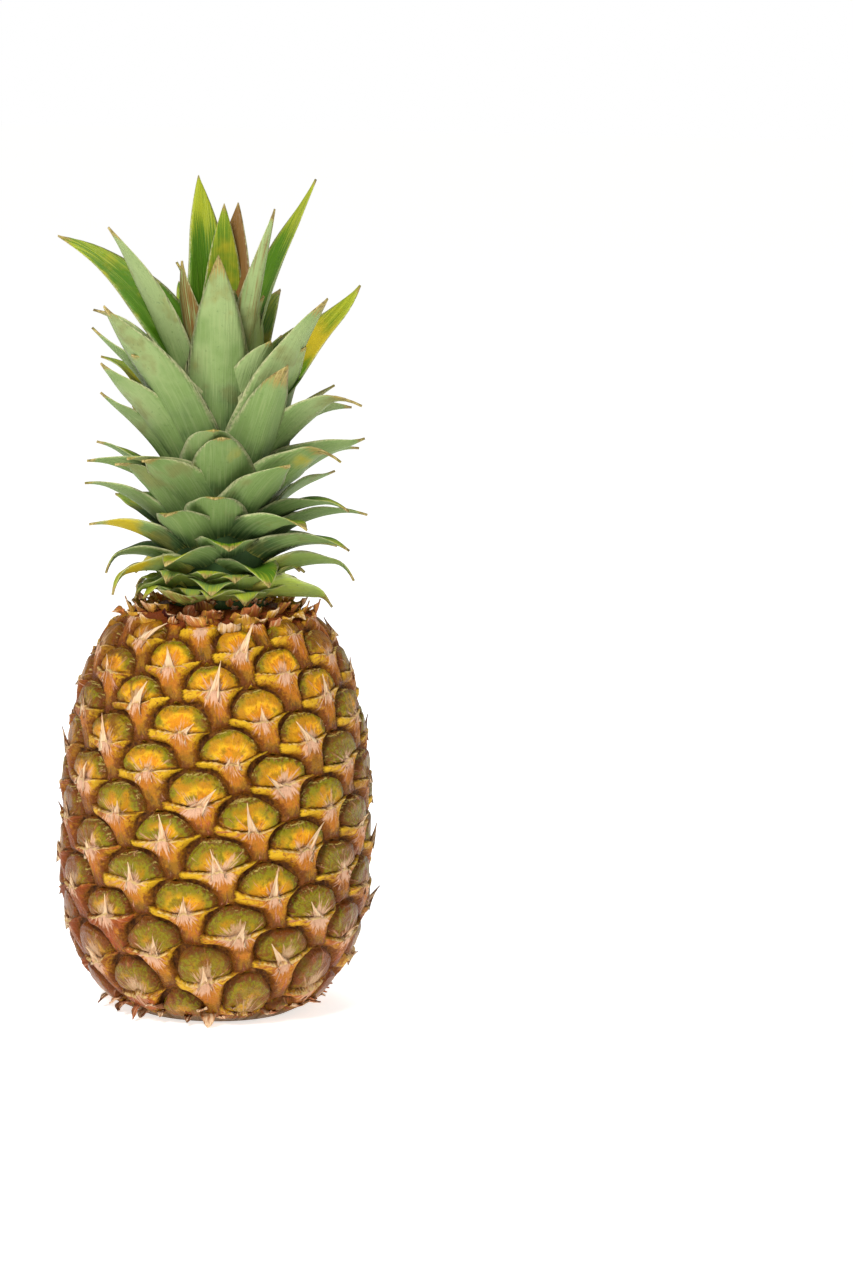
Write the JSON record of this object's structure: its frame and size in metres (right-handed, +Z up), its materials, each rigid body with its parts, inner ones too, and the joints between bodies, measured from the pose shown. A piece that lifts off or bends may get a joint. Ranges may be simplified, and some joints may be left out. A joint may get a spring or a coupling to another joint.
{
  "type": "pineapple",
  "caption": "Whole ripe pineapple standing on its foot, with spiral rows of domed eyes, papery spines and a leafy crown.",
  "frame": {"origin": "middle of the flat foot that the fruit stands on", "axes": "+Z up the fruit to the tip of the crown, -Y the side that faces the camera in the picture"},
  "size_m": [0.1297, 0.1289, 0.329],
  "materials": {
    "rind": "waxy fruit rind, glossy domes with dull dry bracts",
    "leaf": "satin waxy leaf with a pale bloom",
    "cut_stalk": "dry cut fibre"
  },
  "bodies": {
    "root": {"fruit": "rind", "crown": "leaf", "stalk_stub": "cut_stalk"}
  },
  "joints": []
}
